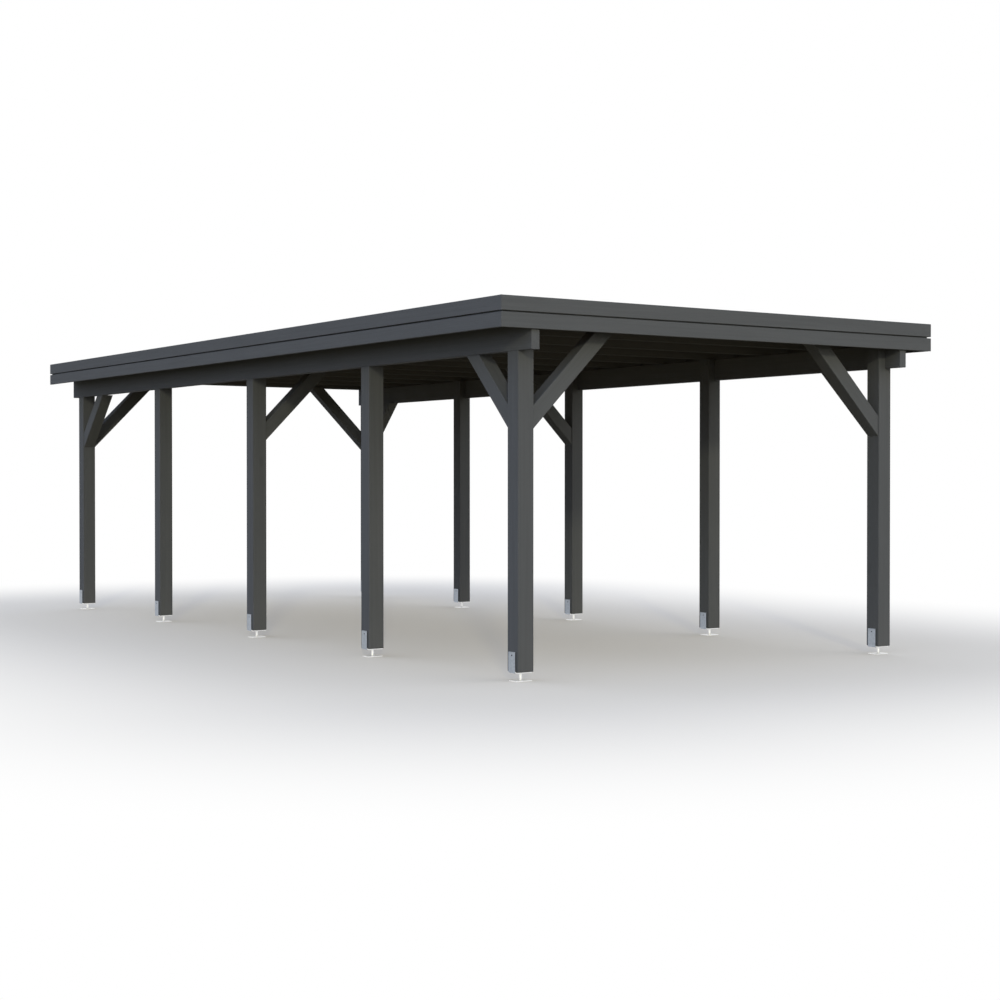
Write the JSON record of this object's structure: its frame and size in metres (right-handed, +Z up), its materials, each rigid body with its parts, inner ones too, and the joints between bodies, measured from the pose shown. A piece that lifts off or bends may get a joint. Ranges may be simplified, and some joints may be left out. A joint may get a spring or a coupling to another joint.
{
  "type": "flat-roofed timber carport",
  "caption": "Open flat-roofed timber carport: notched posts on steel anchors, side beams, knee braces, rafters, boarded roof and a two-board fascia.",
  "frame": {"origin": "on the ground below the middle of the roof", "axes": "+X across the carport to its right-hand side, +Y along it from the front to the rear, +Z up"},
  "size_m": [3.79, 8.036, 2.42],
  "materials": {
    "galvanised_steel": "hot-dip galvanised, faintly spangled",
    "painted_post": "anthracite grey opaque paint on planed softwood",
    "painted_beam": "anthracite grey opaque paint on planed softwood",
    "painted_side_brace": "anthracite grey opaque paint on planed softwood",
    "painted_cross_brace": "anthracite grey opaque paint on planed softwood",
    "painted_rafter": "anthracite grey opaque paint on planed softwood",
    "painted_edge_board": "anthracite grey opaque paint on planed boards",
    "deck_boards": "unpainted planed softwood boards",
    "roofing_sheet": "matt dark grey roofing sheet",
    "painted_front_fascia": "anthracite grey opaque paint on planed boards",
    "painted_side_fascia": "anthracite grey opaque paint on planed boards"
  },
  "bodies": {
    "root": {"anchor_left_1": "galvanised_steel", "anchor_left_2": "galvanised_steel", "anchor_left_3": "galvanised_steel", "anchor_left_4": "galvanised_steel", "anchor_left_5": "galvanised_steel", "anchor_right_1": "galvanised_steel", "anchor_right_2": "galvanised_steel", "anchor_right_3": "galvanised_steel", "anchor_right_4": "galvanised_steel", "anchor_right_5": "galvanised_steel", "post_left_1": "painted_post", "post_left_2": "painted_post", "post_left_3": "painted_post", "post_left_4": "painted_post", "post_left_5": "painted_post", "post_right_1": "painted_post", "post_right_2": "painted_post", "post_right_3": "painted_post", "post_right_4": "painted_post", "post_right_5": "painted_post", "beam_left": "painted_beam", "beam_right": "painted_beam", "side_brace_left_front": "painted_side_brace", "side_brace_left_rear": "painted_side_brace", "side_brace_right_front": "painted_side_brace", "side_brace_right_rear": "painted_side_brace", "cross_brace_left_front": "painted_cross_brace", "cross_brace_left_middle": "painted_cross_brace", "cross_brace_left_rear": "painted_cross_brace", "cross_brace_right_front": "painted_cross_brace", "cross_brace_right_middle": "painted_cross_brace", "cross_brace_right_rear": "painted_cross_brace", "rafters": "painted_rafter", "edge_board_left": "painted_edge_board", "edge_board_right": "painted_edge_board", "roof_deck": "deck_boards", "roof_sheet": "roofing_sheet", "fascia_front_upper": "painted_front_fascia", "fascia_front_lower": "painted_front_fascia", "fascia_left_upper": "painted_side_fascia", "fascia_left_lower": "painted_side_fascia", "fascia_right_upper": "painted_side_fascia", "fascia_right_lower": "painted_side_fascia"}
  },
  "joints": []
}
